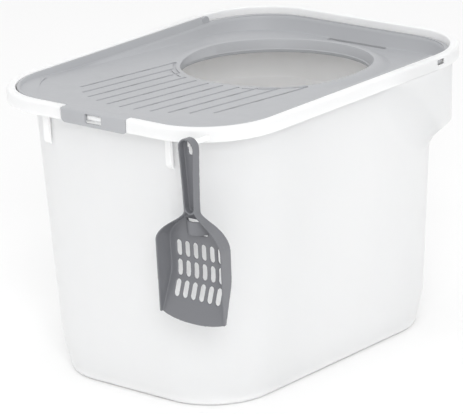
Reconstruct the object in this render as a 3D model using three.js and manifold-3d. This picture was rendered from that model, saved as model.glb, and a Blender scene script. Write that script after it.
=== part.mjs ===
// Top-entry cat litter box: a white bin with a rolled rim, a grey hinged lid with a round entry,
// and a grey scoop that hangs from a hook on the bin.
// Millimetres, +Z up. Origin at the centre of the bin's flat base. -Y is the latch end, +Y the hinge end.
import * as THREE from 'three';
import { mergeVertices } from 'three/addons/utils/BufferGeometryUtils.js';
import Module from 'manifold-3d';

const wasm = await Module();
wasm.setup();

// ---------- driving dimensions ----------
const LENGTH = 530;            // over the rim, along Y
const WIDTH = 412;             // over the rim, along X
const HEIGHT = 373;            // base to top of rim
const WALL = 2.2;              // moulded wall of the bin and the lid
const GAP = 0.6;               // resting clearance between the pieces
const SIDE_GAP = 1.6;          // clearance all round between lid and rim

const RIM_FRONT_RADIUS = 102;
const RIM_REAR_RADIUS = 106;
const RIM_WIDTH = 11.5;        // outer edge of the rim to its inner face
const RIM_ROUND = 3;           // rounding of the rim's top outer edge
const SKIRT = 17;              // how far the rim hangs down outside
const LEDGE_DEPTH = 14.4;      // rim top to the ledge that the lid rests on

const SIDE_INSET = 12.8;       // rim's outer edge to each wall, just under the skirt
const FRONT_INSET = 22.5;
const REAR_INSET = 25.5;
const TUB_TOP_RADIUS = 126;
const TUB_BASE_RADIUS = 105;
const SIDE_DRAFT = 0.086;      // inward lean of the walls, per unit of height
const FRONT_DRAFT = 0.018;
const REAR_DRAFT = 0.046;
const FOOT_RISE = 56;          // the walls curve in towards the base below this height
const FOOT_RUN = 12.5;         // and come in by this much
const FOOT_SHARPEN = 24;       // the corners tighten by this much towards the base
const BASE_ROUND = 5;          // rounding between the walls and the base

const BULGE_INSET = 1.2;       // rim's outer edge to the bulge's side, just under the skirt
const BULGE_REAR_INSET = 8.5;
const BULGE_RADIUS = 112;
const BULGE_DRAFT = 0.05;
const BULGE_FRONT = 173;       // rim's rear edge to where the bulge's lower edge leaves the skirt
const BULGE_SIDE_DROP = 82;    // below the skirt, at the foot of the bulge's sides
const BULGE_SIDE = 97;         // rim's rear edge to that foot
const BULGE_REAR_DROP = 72;    // below the skirt, at the foot of the bulge's rear face
const BULGE_FOOT = 43;         // rim's rear edge to where the bulge's foot meets the tub
const BULGE_FOOT_DROP = 97;

const RIB_X = 101.5;           // ribs under the rim at the front, either side of the latch
const RIB_WIDTH = 8.5;
const RIB_LENGTH = 44;
const RIB_STAND = 2.2;

const HINGE_FROM_REAR = 108;   // rim's rear edge to the hinge axis
const HINGE_DROP = 7.6;        // rim top to the hinge axis
const PIN_RADIUS = 2.4;
const PIN_CLEARANCE = 0.5;
const KEY_LENGTH = 8.4;        // flat head that keeps each pin in its pocket
const KEY_HEIGHT = 3;
const KEY_THICK = 2.6;
const WINDOW_LENGTH = 14;      // opening in the skirt over each pin's head
const WINDOW_HEIGHT = 7;
const LUG_RADIUS = 6.6;        // lug on the lid that carries the pin
const LUG_THICK = 4;

const LATCH_WIDTH = 107;
const LATCH_THICK = 2.6;
const LATCH_CORNER = 6;
const LATCH_DROP = 18.5;
const LATCH_GAP = 0.9;
const LATCH_WINDOW = 27;
const LATCH_WINDOW_HEIGHT = 11.5;
const LATCH_WINDOW_TOP = 2.6;  // lid's top edge to the top of the window
const CATCH_HEIGHT = 6.5;
const CATCH_CLEARANCE = 1.2;
const CATCH_SETBACK = 0.5;     // catch's nose to the back of the latch

const LID_TOP_DROP = 0.8;      // rim top to the lid's lip
const LIP_WIDTH = 3.2;         // raised lip round the lid
const REAR_LIP_DROP = 10;      // the lip is lower behind the hinge
const PLATE_FALL = 0.06;       // the lid's plate falls towards the hinge end
const PLATE_FRONT_DROP = 1.6;  // below the rim's top at the lid's front edge
const PLATE_SLOPE_RUN = 7;     // run of the sloping wall between lip and plate
const LIP_SLOPE_RUN = 4;       // run of the lip's inner slope
const TRAY_GAP = 3;            // lid's tray to the bin's inner wall

const ENTRY_RADIUS = 119;
const ENTRY_FROM_REAR = 185.4; // rim's rear edge to the entry's centre
const FUNNEL_RUN = 5.4;        // the entry narrows by this much on its way down, except at the front
const FUNNEL_DROP = 5.6;
const COLLAR_DROP = 4.4;       // straight collar below the funnel
const RIDGE_HEIGHT = 7.5;      // ridge round the rear of the entry
const RIDGE_WIDTH = 22;

const GROOVES = 11;
const GROOVE_PITCH = 22.2;
const GROOVE_WIDTH = 4.2;
const GROOVE_DEPTH = 1.1;
const DRAIN_WIDTH = 3.2;
const GROOVE_FROM_FRONT = 47;  // rim's front edge to the start of the middle groove
const GROOVE_ARC = 152;        // radius of the arc that the grooves start on
const DRAIN_LENGTH = 17;       // slots through the plate in every other groove
const DRAIN_PITCH = 47;
const DRAIN_STAGGER = 12;

const TURN_RADIUS = 132;       // outer grooves turn onto arcs round the entry, this far from its centre
const TURN_PITCH = 7;
const TURN_SWEEP = 27;         // degrees

const FINGER_WIDTH = 98;       // slot behind the entry
const FINGER_LENGTH = 6;
const FINGER_MARGIN = 8;       // tray's rear wall to the slot

const HOOK_FROM_SIDE = 40;     // rim's side edge to the hook that the scoop hangs on
const HOOK_DROP = 8;           // rim top to the hook's upper face
const HOOK_WIDTH = 4;
const HOOK_THICK = 5;
const HOOK_TIP = 2.5;
const HOOK_ROOT = 25;          // rim's front edge to the hook's root behind the skirt

const SCOOP_GAP = 1.5;         // rim's front edge to the back of the scoop
const SCOOP_WALL = 2.2;
const HANDLE_TOP_WIDTH = 25;
const HANDLE_NECK_WIDTH = 18;
const HANDLE_DEPTH = 10.5;
const HANDLE_LENGTH = 91;
const HANDLE_SET = 6;          // handle's back stands this far in front of the pan's back
const HANG_SLOT_WIDTH = 8;
const HANG_SLOT_LENGTH = 16;
const HANG_MARGIN = 6;         // top of the handle to the top of its slot
const PAN_WIDTH = 96;
const PAN_DEPTH = 22;
const PAN_FLARE = 4.5;         // each side wall leans out by this much over the pan's depth
const PAN_LENGTH = 94;
const SHOULDER_LENGTH = 43;
const SHOULDER_RUN = 22;       // the back steps from the pan to the handle over this length
const RAMP_LENGTH = 54;        // the pan's floor slopes forwards over its lower end
const RAMP_RISE = 19;
const SLOT_COLUMNS = 6;
const SLOT_ROWS = 3;
const SLOT_WIDTH = 8;
const SLOT_LENGTH = 20;
const SLOT_PITCH_X = 13;
const SLOT_PITCH_Z = 24.5;
const LOOP_WIDTH = 36;         // small arch across the window below the handle
const LOOP_HEIGHT = 17;
const LOOP_RISE = 13;
const LOOP_WINDOW_WIDTH = 28;
const LOOP_WINDOW_HEIGHT = 20;
const LOOP_DROP = 12;          // handle's end to the top of the window

// ---------- levels worked out from the sizes ----------
const SKIRT_Z = HEIGHT - SKIRT;
const LEDGE_Z = HEIGHT - LEDGE_DEPTH;
const HINGE_Z = HEIGHT - HINGE_DROP;
const HOOK_Z = HEIGHT - HOOK_DROP;
const INNER_SKIRT = RIM_WIDTH - WALL;      // inset of the inner skirt's outer face
const HINGE_Y = LENGTH / 2 - HINGE_FROM_REAR;
const ENTRY_Y = LENGTH / 2 - ENTRY_FROM_REAR;
const HOOK_X = WIDTH / 2 - HOOK_FROM_SIDE;
const scoopBackY = -LENGTH / 2 - SCOOP_GAP;
const ARC_STEPS = 10;

const plastic = (color, roughness) => new THREE.MeshStandardMaterial({ color, roughness, metalness: 0 });
const white = plastic(0xf1f2f3, 0.35);
const grey = plastic(0xb4b7bb, 0.42);
const scoopGrey = plastic(0x8e8f95, 0.4);

// ---------- helpers ----------
// A rounded rectangle of the rim's plan, moved inwards by an inset, with its own corner radii.
function plan(inset, frontRadius, rearRadius, insets = {}) {
  const halfWidth = WIDTH / 2 - (insets.side ?? inset);
  const front = -LENGTH / 2 + (insets.front ?? inset);
  const rear = LENGTH / 2 - (insets.rear ?? inset);
  const corners = [
    [halfWidth - frontRadius, front + frontRadius, -90, frontRadius],
    [halfWidth - rearRadius, rear - rearRadius, 0, rearRadius],
    [rearRadius - halfWidth, rear - rearRadius, 90, rearRadius],
    [frontRadius - halfWidth, front + frontRadius, 180, frontRadius],
  ];
  return corners.flatMap(([x, y, start, radius]) =>
    Array.from({ length: ARC_STEPS + 1 }, (_, i) => {
      const angle = THREE.MathUtils.degToRad(start + (90 * i) / ARC_STEPS);
      return new THREE.Vector2(x + radius * Math.cos(angle), y + radius * Math.sin(angle));
    }));
}

// The rim's own plan, concentric with its outer edge.
const rimPlan = (inset) => plan(inset, RIM_FRONT_RADIUS - inset, RIM_REAR_RADIUS - inset);

// A ring of 3-D points: a plan at one height, or at a height that changes with y.
const ring = (points, z) => {
  const level = typeof z === 'function' ? z : () => z;
  return points.map((p) => new THREE.Vector3(p.x, p.y, level(p.y)));
};

// A closed body through a stack of rings. Without caps the last ring joins the first.
function loft(rings, capped = true) {
  const count = rings[0].length;
  const positions = rings.flat().flatMap((p) => [p.x, p.y, p.z]);
  const index = [];
  const bands = capped ? rings.length - 1 : rings.length;
  for (let r = 0; r < bands; r += 1) {
    const next = (r + 1) % rings.length;
    for (let i = 0; i < count; i += 1) {
      const j = (i + 1) % count;
      const [a, b, c, d] = [r * count + i, r * count + j, next * count + j, next * count + i];
      index.push(a, b, c, a, c, d);
    }
  }
  if (capped) {
    const last = (rings.length - 1) * count;
    const flat = (points) => points.map((p) => new THREE.Vector2(p.x, p.y));
    const triangles = (points) => THREE.ShapeUtils.triangulateShape(flat(points), []);
    for (const [a, b, c] of triangles(rings[0])) index.push(a, c, b);
    for (const [a, b, c] of triangles(rings[rings.length - 1])) index.push(last + a, last + b, last + c);
  }
  const geometry = new THREE.BufferGeometry();
  geometry.setAttribute('position', new THREE.Float32BufferAttribute(positions, 3));
  geometry.setIndex(index);
  return geometry;
}

function solid(geometry) {
  const clean = geometry.clone();
  clean.deleteAttribute('normal');
  clean.deleteAttribute('uv');
  const merged = mergeVertices(clean, 1e-4);
  return new wasm.Manifold(new wasm.Mesh({
    numProp: 3,
    vertProperties: new Float32Array(merged.attributes.position.array),
    triVerts: new Uint32Array(merged.index.array),
  }));
}

function mesh(name, body, material) {
  const { vertProperties, triVerts } = body.getMesh();
  const geometry = new THREE.BufferGeometry();
  geometry.setAttribute('position', new THREE.BufferAttribute(vertProperties, 3));
  geometry.setIndex(new THREE.BufferAttribute(triVerts, 1));
  geometry.computeVertexNormals();
  const part = new THREE.Mesh(geometry, material);
  part.name = name;
  return part;
}

const box = (x, y, z, cx, cy, cz) => solid(new THREE.BoxGeometry(x, y, z).translate(cx, cy, cz));

// A profile in the Y-Z plane, extruded along X and centred on x.
function slabAlongX(points, width, x = 0) {
  const shape = new THREE.Shape(points.map(([y, z]) => new THREE.Vector2(y, z)));
  const geometry = new THREE.ExtrudeGeometry(shape, { depth: width, bevelEnabled: false });
  geometry.translate(0, 0, -width / 2);
  geometry.applyMatrix4(new THREE.Matrix4().makeBasis(
    new THREE.Vector3(0, 1, 0), new THREE.Vector3(0, 0, 1), new THREE.Vector3(1, 0, 0)));
  return solid(geometry.translate(x, 0, 0));
}

// A rounded bar seen from the front (X-Z plane), extruded along Y from y0 to y1.
function frontSlot(width, height, x, z, y0, y1, radius = width / 2) {
  const r = Math.min(radius, width / 2, height / 2);
  const [hw, hh] = [width / 2, height / 2];
  const shape = new THREE.Shape();
  shape.moveTo(hw - r, -hh).absarc(hw - r, r - hh, r, -Math.PI / 2, 0, false);
  shape.absarc(hw - r, hh - r, r, 0, Math.PI / 2, false).absarc(r - hw, hh - r, r, Math.PI / 2, Math.PI, false);
  shape.absarc(r - hw, r - hh, r, Math.PI, 1.5 * Math.PI, false).closePath();
  return solid(frontShape(shape, x, z, y0, y1, 4));
}

function frontShape(shape, x, z, y0, y1, curveSegments = 8) {
  const geometry = new THREE.ExtrudeGeometry(shape, { depth: y1 - y0, bevelEnabled: false, curveSegments });
  geometry.rotateX(Math.PI / 2);            // shape's y becomes z, and it extrudes towards -Y
  return geometry.translate(x, y1, z);
}

const rodAlongX = (radius, length, x, y, z, segments = 24) =>
  solid(new THREE.CylinderGeometry(radius, radius, length, segments).rotateZ(Math.PI / 2).translate(x, y, z));

// ---------- bin ----------
// The tub's outline at height z, moved inwards by a wall thickness and by the rounding of its base.
function tubPlan(z, wall = 0, round = 0) {
  const drop = SKIRT_Z - z;
  const foot = Math.max(0, 1 - z / FOOT_RISE);
  const inwards = FOOT_RUN * foot ** 2 + wall + round;
  const taper = ((TUB_TOP_RADIUS - TUB_BASE_RADIUS) * z) / SKIRT_Z;
  const radius = TUB_BASE_RADIUS + taper - FOOT_SHARPEN * foot ** 3 - wall - round;
  const insets = {
    side: SIDE_INSET + SIDE_DRAFT * drop + inwards,
    front: FRONT_INSET + FRONT_DRAFT * drop + inwards,
    rear: REAR_INSET + REAR_DRAFT * drop + inwards,
  };
  return plan(0, radius, radius, insets);
}

// The tub from its floor up to topZ: a rounded edge, a curved foot, then drafted walls.
function tub(wall, topZ) {
  const radius = Math.max(BASE_ROUND - wall, 1);
  const edgeSteps = 3;
  const edge = Array.from({ length: edgeSteps }, (_, i) => {
    const angle = (Math.PI / 2) * (i / edgeSteps);
    const z = wall + radius * (1 - Math.cos(angle));
    return ring(tubPlan(z, wall, radius * (1 - Math.sin(angle))), z);
  });
  const footSteps = 6;
  const foot = Array.from({ length: footSteps + 1 }, (_, i) => {
    const z = wall + radius + ((FOOT_RISE - wall - radius) * i) / footSteps;
    return ring(tubPlan(z, wall), z);
  });
  return solid(loft([...edge, ...foot, ring(tubPlan(topZ, wall), topZ)]));
}

// The rear bulge that clears the back of the lid as it swings down.
function bulge(wall, topZ) {
  const footZ = SKIRT_Z - BULGE_FOOT_DROP - 10;
  const outline = (z) => {
    const lean = BULGE_DRAFT * (SKIRT_Z - z) + wall;
    const insets = { side: BULGE_INSET + lean, front: FRONT_INSET + wall + 40, rear: BULGE_REAR_INSET + lean };
    return ring(plan(0, TUB_TOP_RADIUS, BULGE_RADIUS - lean, insets), z);
  };
  const column = solid(loft([outline(footZ), outline(topZ)]));
  const keep = slabAlongX([
    [LENGTH / 2 - BULGE_FRONT + wall, topZ + 1], [LENGTH / 2 - BULGE_FRONT + wall, SKIRT_Z],
    [LENGTH / 2 - BULGE_SIDE, SKIRT_Z - BULGE_SIDE_DROP + 1.4 * wall],
    [LENGTH / 2 - BULGE_FOOT, SKIRT_Z - BULGE_FOOT_DROP + 1.4 * wall],
    [LENGTH / 2 - BULGE_REAR_INSET, SKIRT_Z - BULGE_REAR_DROP + 1.4 * wall],
    [LENGTH, SKIRT_Z - BULGE_REAR_DROP + 1.4 * wall], [LENGTH, topZ + 1],
  ], 2 * WIDTH);
  return column.intersect(keep);
}

// The rolled rim: outer skirt, flat top, and the inner skirt that the lid drops into.
function rim() {
  const steps = 4;
  const round = Array.from({ length: steps + 1 }, (_, i) => {
    const angle = (Math.PI / 2) * (i / steps);
    return [RIM_ROUND * (1 - Math.sin(Math.PI / 2 - angle)), HEIGHT - RIM_ROUND * (1 - Math.sin(angle))];
  });
  const profile = [
    [0.4, SKIRT_Z], [0, SKIRT_Z + 1], ...round, [RIM_WIDTH - 1, HEIGHT], [RIM_WIDTH, HEIGHT - 1],
    [RIM_WIDTH, LEDGE_Z], [INNER_SKIRT, LEDGE_Z - WALL], [INNER_SKIRT, HEIGHT - WALL], [WALL, HEIGHT - WALL],
    [WALL, SKIRT_Z],
  ];
  return solid(loft(profile.map(([inset, z]) => ring(rimPlan(inset), z)), false));
}

const frontFace = -LENGTH / 2;
const latchFaceY = frontFace - 0.3;
const latchBackY = latchFaceY + LATCH_THICK;

function ribs() {
  const backY = frontFace + FRONT_INSET + FRONT_DRAFT * RIB_LENGTH + WALL / 2;
  const faceY = frontFace + FRONT_INSET - RIB_STAND;
  const foot = SKIRT_Z - RIB_LENGTH;
  return [-1, 1].map((side) => slabAlongX([
    [backY, LEDGE_Z - WALL / 2], [faceY, LEDGE_Z - WALL / 2], [faceY, foot + 2 * RIB_STAND], [backY, foot],
  ], RIB_WIDTH, side * RIB_X));
}

// A peg that stands out from the rim's skirt at the corner, with a tip that keeps the scoop on.
function hook() {
  const rootY = frontFace + HOOK_ROOT;
  const tipY = scoopBackY - HANDLE_SET - SCOOP_WALL - GAP - 2;
  const z = HOOK_Z - HOOK_THICK / 2;
  const peg = box(HOOK_WIDTH, rootY - tipY, HOOK_THICK, HOOK_X, (rootY + tipY) / 2, z);
  const tip = box(HOOK_WIDTH, 2, HOOK_THICK + HOOK_TIP, HOOK_X, tipY + 1, z + HOOK_TIP / 2);
  return peg.add(tip);
}

function catchBlock() {
  const topZ = HEIGHT - LATCH_WINDOW_TOP - CATCH_CLEARANCE - 1.5;
  const width = LATCH_WINDOW - 2 * CATCH_CLEARANCE;
  const rootY = frontFace + INNER_SKIRT + WALL / 2;
  const noseY = latchBackY + CATCH_SETBACK;
  return slabAlongX([
    [rootY, topZ], [noseY, topZ], [noseY, topZ - CATCH_HEIGHT + 2], [noseY + 2, topZ - CATCH_HEIGHT],
    [rootY, topZ - CATCH_HEIGHT],
  ], width);
}

function buildBin() {
  const ledge = solid(loft([ring(rimPlan(INNER_SKIRT), LEDGE_Z - WALL), ring(rimPlan(INNER_SKIRT), LEDGE_Z)]));
  let bin = tub(0, LEDGE_Z - WALL / 2).add(ledge).add(bulge(0, LEDGE_Z - WALL / 2));
  bin = bin.add(ribs()[0]).add(ribs()[1]).add(hook());
  const innerEdge = tubPlan(LEDGE_Z, WALL);
  const ledgeHole = solid(loft([ring(innerEdge, LEDGE_Z - 2 * WALL), ring(innerEdge, LEDGE_Z + 1)]));
  bin = bin.subtract(tub(WALL, LEDGE_Z - WALL / 2)).subtract(ledgeHole);
  bin = bin.subtract(bulge(WALL, LEDGE_Z + 1).intersect(solid(loft([
    ring(rimPlan(RIM_WIDTH), 0), ring(rimPlan(RIM_WIDTH), HEIGHT)]))));
  bin = bin.add(rim());
  const notchHalf = LATCH_WIDTH / 2 + LATCH_GAP;
  const notch = box(2 * notchHalf, INNER_SKIRT + 1, SKIRT + 2,
    0, frontFace + (INNER_SKIRT - 1) / 2, SKIRT_Z - 1 + SKIRT / 2 + 1);
  const bridgeBed = HEIGHT - LID_TOP_DROP - WALL - GAP;
  const bed = box(2 * notchHalf, RIM_WIDTH + 2, HEIGHT + 1 - bridgeBed,
    0, frontFace + (RIM_WIDTH - 1) / 2 + 0.5, (HEIGHT + 1 + bridgeBed) / 2);
  bin = bin.subtract(notch).subtract(bed).add(catchBlock());
  for (const side of [-1, 1]) {
    const skirtX = side * (WIDTH / 2);
    bin = bin.subtract(box(2 * WALL + 1, WINDOW_LENGTH, WINDOW_HEIGHT, skirtX, HINGE_Y, HINGE_Z));
    const bearingX = side * (WIDTH / 2 - RIM_WIDTH + WALL / 2);
    bin = bin.subtract(rodAlongX(PIN_RADIUS + PIN_CLEARANCE, 2 * WALL + 2, bearingX, HINGE_Y, HINGE_Z));
  }
  return mesh('bin', bin, white);
}

// ---------- lid ----------
const plateZ = (y) => HEIGHT - PLATE_FRONT_DROP - PLATE_FALL * (y + LENGTH / 2);
const LIP_INSET = RIM_WIDTH + SIDE_GAP;
const lidTopZ = HEIGHT - LID_TOP_DROP;
const rearLipZ = HEIGHT - REAR_LIP_DROP;

// The tray hangs inside the bin: its outline follows the tub's walls, and at the rear the bulge's.
const trayInset = (wallInset) => Math.max(wallInset + WALL + TRAY_GAP, LIP_INSET + 0.6);
const trayRearInset = trayInset(BULGE_REAR_INSET);
function trayPlan(extra) {
  const [side, front, rear] = [SIDE_INSET, FRONT_INSET, BULGE_REAR_INSET].map((wallInset) =>
    trayInset(wallInset) + extra);
  return plan(0, TUB_TOP_RADIUS - WALL - TRAY_GAP - extra, RIM_REAR_RADIUS - rear, { side, front, rear });
}

function shell() {
  const lipBottom = LEDGE_Z + GAP;
  const lip = solid(loft([
    ring(rimPlan(LIP_INSET), lipBottom), ring(rimPlan(LIP_INSET), lidTopZ - 1),
    ring(rimPlan(LIP_INSET + 1), lidTopZ),
  ]));
  const under = (y) => Math.min(plateZ(y) - WALL, lipBottom + 1);
  const tray = solid(loft([ring(trayPlan(0), under), ring(trayPlan(0), lipBottom + 2)]));
  const shelf = (y) => Math.max(plateZ(y) + 0.15, lipBottom + WALL);
  const well = solid(loft([
    ring(trayPlan(WALL + PLATE_SLOPE_RUN), plateZ), ring(trayPlan(WALL), (y) => shelf(y) + 0.2),
    ring(trayPlan(WALL), HEIGHT + 20),
  ]));
  const brim = LIP_INSET + LIP_WIDTH;
  const dish = solid(loft([
    ring(rimPlan(brim + LIP_SLOPE_RUN), shelf), ring(rimPlan(brim), (y) => Math.max(shelf(y) + 0.2, lidTopZ)),
    ring(rimPlan(brim), HEIGHT + 20),
  ]));
  return lip.add(tray).subtract(well).subtract(dish).subtract(hollowUnderFront(lipBottom));
}

// Under the front of the lid the plate is well above the lip's foot, so the lid is hollow there.
function hollowUnderFront(lipBottom) {
  const endY = -LENGTH / 2 + (HEIGHT - PLATE_FRONT_DROP - WALL - lipBottom) / PLATE_FALL - 12;
  const outline = rimPlan(LIP_INSET + LIP_WIDTH + WALL);
  const cavity = solid(loft([ring(outline, (y) => plateZ(y) - 50), ring(outline, (y) => plateZ(y) - WALL)]));
  return cavity.intersect(box(WIDTH, LENGTH, 2 * HEIGHT, 0, endY - LENGTH / 2, HEIGHT));
}

// Ridge, funnel and collar round the entry, as one ring that follows the plate's fall.
function entryRing() {
  const steps = 72;
  const outer = ENTRY_RADIUS + FUNNEL_RUN;
  const rise = (angle) => RIDGE_HEIGHT * THREE.MathUtils.smoothstep(Math.sin(angle), -0.75, 0.35);
  const run = (angle) => FUNNEL_RUN * THREE.MathUtils.smoothstep(Math.sin(angle), -0.75, 0.1);
  const profile = (angle) => {
    const h = rise(angle);
    const throat = outer - run(angle);
    return [
      [outer + RIDGE_WIDTH, 0.5 - WALL], [outer + RIDGE_WIDTH, -0.15],
      [outer + 0.62 * RIDGE_WIDTH, 0.55 * h - 0.15], [outer + 0.35 * RIDGE_WIDTH, 0.95 * h - 0.15],
      [outer + 0.12 * RIDGE_WIDTH, h - 0.15],
      [outer, 0.8 * h - 0.15],
      [throat, -FUNNEL_DROP], [throat, -FUNNEL_DROP - COLLAR_DROP],
      [throat + WALL, -FUNNEL_DROP - COLLAR_DROP], [throat + WALL, -FUNNEL_DROP],
      [outer + WALL, -WALL - 0.3], [outer + 2 * WALL, 0.5 - WALL],
    ];
  };
  const count = profile(0).length;
  const rings = Array.from({ length: count }, (_, k) => Array.from({ length: steps }, (_, i) => {
    const angle = (2 * Math.PI * i) / steps;
    const [radius, dz] = profile(angle)[k];
    const y = ENTRY_Y + radius * Math.sin(angle);
    return new THREE.Vector3(radius * Math.cos(angle), y, plateZ(y) + dz);
  }));
  return solid(loft(rings, false));
}

function entryCut() {
  const radius = ENTRY_RADIUS + FUNNEL_RUN + WALL / 2;
  const cut = new THREE.CylinderGeometry(radius, radius, 80, 60).rotateX(Math.PI / 2);
  return solid(cut.translate(0, ENTRY_Y, HEIGHT - 30));
}

// Moves a body drawn with its z measured from the plate onto the falling plate.
const ontoPlate = (geometry) => solid(geometry.applyMatrix4(new THREE.Matrix4().set(
  1, 0, 0, 0,
  0, 1, 0, 0,
  0, -PLATE_FALL, 1, plateZ(0),
  0, 0, 0, 1)));

// Grooves run back from an arc at the front towards the entry. Every other one has slots through it.
// The outer ones turn onto short arcs round the entry.
function groovesCut() {
  const cuts = [];
  const middle = (GROOVES - 1) / 2;
  const arcCentre = -LENGTH / 2 + GROOVE_FROM_FRONT + GROOVE_ARC;
  const reach = TURN_RADIUS + 1;
  for (let k = 0; k < GROOVES; k += 1) {
    const x = (k - middle) * GROOVE_PITCH;
    const y0 = arcCentre - Math.sqrt(GROOVE_ARC ** 2 - x ** 2);
    const y1 = ENTRY_Y - Math.sqrt(reach ** 2 - x ** 2);
    const strip = (width, a, b, depth) => ontoPlate(
      new THREE.BoxGeometry(width, b - a, depth + 2).translate(x, (a + b) / 2, 1 - depth / 2));
    cuts.push(strip(GROOVE_WIDTH, y0, y1, GROOVE_DEPTH));
    const start = y0 + 20 + DRAIN_STAGGER * ((k / 2) % 2);
    for (let a = start; k % 2 === 0 && a + DRAIN_LENGTH < y1 - 8; a += DRAIN_PITCH) {
      cuts.push(strip(DRAIN_WIDTH, a, a + DRAIN_LENGTH, 4 * WALL));
    }
  }
  for (const [side, turn] of [[-1, 0], [-1, 1], [1, 0], [1, 1]]) {
    const radius = TURN_RADIUS + turn * TURN_PITCH;
    const edgeX = middle * GROOVE_PITCH - turn * GROOVE_PITCH;
    const from = Math.acos(edgeX / radius);
    const to = from + THREE.MathUtils.degToRad(TURN_SWEEP - 9 * turn);
    const angle = (a) => (side > 0 ? -a : a - Math.PI);
    const shape = new THREE.Shape();
    shape.absarc(0, 0, radius + GROOVE_WIDTH / 2, angle(from), angle(to), side > 0);
    shape.absarc(0, 0, radius - GROOVE_WIDTH / 2, angle(to), angle(from), side < 0);
    shape.closePath();
    const options = { depth: GROOVE_DEPTH + 2, bevelEnabled: false, curveSegments: 8 };
    const geometry = new THREE.ExtrudeGeometry(shape, options);
    cuts.push(ontoPlate(geometry.translate(0, ENTRY_Y, -GROOVE_DEPTH)));
  }
  return cuts;
}

function latch() {
  const [faceY, backY] = [latchFaceY, latchBackY];
  const height = LATCH_DROP;
  const tabZ = lidTopZ - (height - LATCH_CORNER) / 2;
  const tab = frontSlot(LATCH_WIDTH, height + LATCH_CORNER, 0, tabZ, faceY, backY, LATCH_CORNER);
  const trim = box(LATCH_WIDTH + 2, 20, 20, 0, faceY, lidTopZ + 10);
  const bridge = slabAlongX([
    [faceY, lidTopZ - WALL], [frontFace + LIP_INSET + LIP_WIDTH, lidTopZ - WALL],
    [frontFace + LIP_INSET + LIP_WIDTH, lidTopZ], [faceY + 1.5, lidTopZ], [faceY, lidTopZ - 1.5],
  ], LATCH_WIDTH);
  const windowZ = lidTopZ - LATCH_WINDOW_TOP - LATCH_WINDOW_HEIGHT / 2;
  const window = box(LATCH_WINDOW, 4 * LATCH_THICK, LATCH_WINDOW_HEIGHT, 0, faceY, windowZ);
  return tab.subtract(trim).add(bridge).subtract(window);
}

function pin(side) {
  const lipX = WIDTH / 2 - LIP_INSET;
  const keyOuter = WIDTH / 2 - WALL - 0.6;
  const keyInner = keyOuter - KEY_THICK;
  const lug = rodAlongX(LUG_RADIUS, LUG_THICK, side * (lipX - LUG_THICK / 2), HINGE_Y, HINGE_Z);
  const foot = box(LUG_THICK, 2 * LUG_RADIUS, HINGE_Z - LEDGE_Z - GAP, side * (lipX - LUG_THICK / 2), HINGE_Y,
    (HINGE_Z + LEDGE_Z + GAP) / 2);
  const shaft = rodAlongX(PIN_RADIUS, keyOuter - lipX + 1, side * (keyOuter + lipX - 1) / 2, HINGE_Y, HINGE_Z);
  const key = box(KEY_THICK, KEY_LENGTH, KEY_HEIGHT, side * (keyOuter + keyInner) / 2, HINGE_Y, HINGE_Z);
  return lug.add(foot).add(shaft).add(key);
}

function buildLid() {
  let lid = shell();
  const rearStep = box(WIDTH, LENGTH, 40, 0, HINGE_Y - LUG_RADIUS - 1 + LENGTH / 2, rearLipZ + 20);
  lid = lid.subtract(rearStep).subtract(entryCut()).add(entryRing());
  for (const cut of groovesCut()) lid = lid.subtract(cut);
  const fingerY = LENGTH / 2 - trayRearInset - WALL - FINGER_MARGIN;
  lid = lid.subtract(box(FINGER_WIDTH, FINGER_LENGTH, 60, 0, fingerY, HEIGHT - 30));
  lid = lid.add(latch()).add(pin(-1)).add(pin(1));
  return mesh('lid', lid, grey);
}

// ---------- scoop ----------
// Outline of the scoop seen from the front; z is measured down from the top of the handle.
// The pan's sides can be moved outwards, and its end moved down.
function scoopOutline(inset, flare, endDrop = 0) {
  const top = HANDLE_TOP_WIDTH / 2 - inset;
  const neck = HANDLE_NECK_WIDTH / 2 - inset;
  const half = PAN_WIDTH / 2 - inset + flare;
  const handleEnd = -HANDLE_LENGTH;
  const panTop = -(HANDLE_LENGTH + SHOULDER_LENGTH);
  const panEnd = panTop - PAN_LENGTH - endDrop;
  const shape = new THREE.Shape();
  shape.absarc(0, -HANDLE_TOP_WIDTH / 2, top, 0, Math.PI, false);
  shape.lineTo(-neck, handleEnd);
  shape.bezierCurveTo(-neck - 2, handleEnd - 11, -half, handleEnd - 21, -half, panTop);
  shape.lineTo(-half + 1, panEnd + 6);
  shape.bezierCurveTo(-half / 2, panEnd - 4, half / 2, panEnd - 4, half - 1, panEnd + 6);
  shape.lineTo(half, panTop);
  shape.bezierCurveTo(half, handleEnd - 21, neck + 2, handleEnd - 11, neck, handleEnd);
  shape.closePath();
  return shape.getPoints(8).slice(0, -1);
}

const scoopTopZ = HOOK_Z + HANG_MARGIN;

// The scoop's body between two depths in front of its back face. Its back steps forwards at the handle
// and slopes forwards at the pan's end.
function scoopBody(inset, nearDepth, farDepth, endDrop) {
  const flareAt = (depth) => (PAN_FLARE * depth) / PAN_DEPTH;
  const layer = (depth) => scoopOutline(inset, flareAt(depth), endDrop)
    .map((p) => new THREE.Vector3(p.x, p.y, depth));
  const body = loft([layer(nearDepth), layer(farDepth)]).rotateX(Math.PI / 2);
  const end = scoopTopZ - HANDLE_LENGTH - SHOULDER_LENGTH - PAN_LENGTH;
  const slope = RAMP_RISE / RAMP_LENGTH;
  const past = 20;
  const back = scoopBackY - nearDepth;
  const front = scoopBackY - PAN_DEPTH - 25;
  const handleEndZ = scoopTopZ - HANDLE_LENGTH;
  const side = slabAlongX([
    [back, end + RAMP_LENGTH], [back - RAMP_RISE - slope * past, end - past], [front, end - past],
    [front, scoopTopZ + past], [back - HANDLE_SET, scoopTopZ + past], [back - HANDLE_SET, handleEndZ],
    [back, handleEndZ - SHOULDER_RUN],
  ], 2 * PAN_WIDTH, HOOK_X);
  return solid(body.translate(HOOK_X, scoopBackY, scoopTopZ)).intersect(side);
}

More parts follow.
